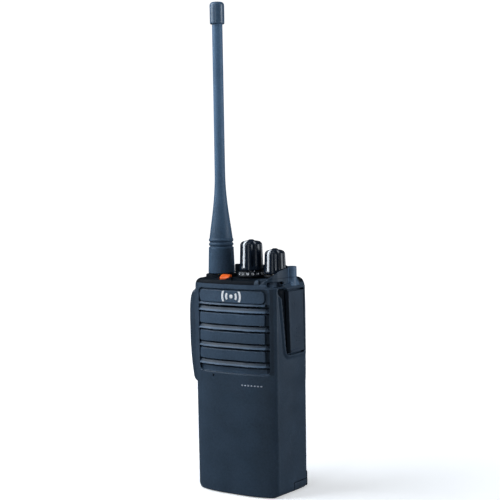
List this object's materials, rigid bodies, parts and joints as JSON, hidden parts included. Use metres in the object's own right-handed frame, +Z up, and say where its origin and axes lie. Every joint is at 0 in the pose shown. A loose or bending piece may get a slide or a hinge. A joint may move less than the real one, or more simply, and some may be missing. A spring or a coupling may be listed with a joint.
{
  "type": "two-way radio",
  "caption": "Hand-held two-way radio with a whip antenna, rotary controls, side keys, louvred speaker grille, slide-off battery and belt clip.",
  "frame": {"origin": "middle of the flat base that the radio stands on, midway between its sides and 16.7 mm behind the front face", "axes": "+Z up along the antenna, -Y out of the front with the speaker, +X towards the side with the accessory socket"},
  "size_m": [0.0602, 0.0421, 0.269],
  "materials": {
    "housing": "fine textured moulded plastic",
    "black_plastic": "satin",
    "gloss_plastic": "polished",
    "white_paint": "satin",
    "rubber": "matt",
    "orange_rubber": "satin",
    "lens": "clear",
    "cast": "die cast",
    "tinned": "tinned sheet",
    "steel": "plated",
    "brass": "plated",
    "board": "solder resist",
    "felt": "black felt and paper",
    "cell": "film wrapped"
  },
  "bodies": {
    "radio": {"front_housing": "housing", "chassis": "cast", "chassis_screw_left": "steel", "chassis_screw_right": "steel", "main_board": "board", "rf_shield": "tinned", "speaker_felt": "felt", "speaker_frame": "cast", "speaker_cone": "felt", "speaker_magnet": "steel", "microphone": "steel", "accessory_connector": "black_plastic", "ptt_switch_board": "board", "emergency_switch": "black_plastic", "led_lens": "lens", "battery_terminals": "brass", "antenna_socket": "brass", "channel_encoder": "black_plastic", "channel_nut": "brass", "channel_dial": "black_plastic", "volume_control": "black_plastic", "volume_nut": "brass", "volume_dial": "black_plastic"},
    "antenna": {"antenna_sheath": "rubber", "antenna_cap": "gloss_plastic", "antenna_core": "steel", "antenna_stud": "brass", "antenna_gasket": "rubber"},
    "channel_selector": {"channel_knob": "gloss_plastic", "channel_pointer": "white_paint", "channel_shaft": "steel"},
    "volume_selector": {"volume_knob": "gloss_plastic", "volume_pointer": "white_paint", "volume_shaft": "steel"},
    "emergency_key": {"emergency_button": "orange_rubber"},
    "talk_key": {"ptt_key": "rubber"},
    "upper_key": {"upper_side_key": "rubber"},
    "lower_key": {"lower_side_key": "rubber"},
    "socket_cover": {"accessory_cover": "rubber"},
    "battery_pack": {"battery_case": "housing", "battery_tray": "black_plastic", "battery_lower_cell": "cell", "battery_upper_cell": "cell", "battery_board": "board", "battery_contacts": "brass", "clip_bracket": "black_plastic", "clip_screw_left": "steel", "clip_screw_right": "steel", "clip_pin": "steel", "clip_spring": "steel"},
    "latch": {"battery_latch": "black_plastic", "latch_spring": "steel"},
    "belt_clip": {"clip_lever": "black_plastic"}
  },
  "joints": [
    {"name": "antenna_turn", "type": "hinge", "parent": "radio", "child": "antenna", "pos_m": [-0.0163, -0.0008, 0.1199], "axis": [0, 0, 1], "continuous": true},
    {"name": "channel_turn", "type": "hinge", "parent": "radio", "child": "channel_selector", "pos_m": [0.0038, -0.0008, 0.122], "axis": [0, 0, -1], "range_deg": [0, 337.5]},
    {"name": "volume_turn", "type": "hinge", "parent": "radio", "child": "volume_selector", "pos_m": [0.0191, -0.0008, 0.1205], "axis": [0, 0, -1], "range_deg": [0, 270]},
    {"name": "emergency_press", "type": "slide", "parent": "radio", "child": "emergency_key", "axis": [0, 0, -1], "range_m": [0, 0.001], "stiffness_N_per_m": 2500, "springref_m": -0.0005},
    {"name": "talk_press", "type": "slide", "parent": "radio", "child": "talk_key", "axis": [1, 0, 0], "range_m": [0, 0.0012], "stiffness_N_per_m": 1500, "springref_m": -0.001},
    {"name": "upper_key_press", "type": "slide", "parent": "radio", "child": "upper_key", "axis": [1, 0, 0], "range_m": [0, 0.0006], "stiffness_N_per_m": 2500, "springref_m": -0.0004},
    {"name": "lower_key_press", "type": "slide", "parent": "radio", "child": "lower_key", "axis": [1, 0, 0], "range_m": [0, 0.0006], "stiffness_N_per_m": 2500, "springref_m": -0.0004},
    {"name": "socket_cover_open", "type": "hinge", "parent": "radio", "child": "socket_cover", "pos_m": [0.0282, 0.0132, 0.0945], "axis": [0, 0, 1], "range_deg": [0, 110]},
    {"name": "battery_slide", "type": "slide", "parent": "radio", "child": "battery_pack", "axis": [0, 0, -1], "range_m": [0, 0.11]},
    {"name": "latch_lift", "type": "slide", "parent": "battery_pack", "child": "latch", "axis": [0, 0, 1], "range_m": [0, 0.002], "stiffness_N_per_m": 400, "springref_m": -0.003, "deforming": ["latch_spring"]},
    {"name": "belt_clip_open", "type": "hinge", "parent": "battery_pack", "child": "belt_clip", "pos_m": [0, 0.0209, 0.097], "axis": [1, 0, 0], "range_deg": [0, 16], "stiffness_Nm_per_rad": 0.5, "springref_deg": -20.05}
  ]
}
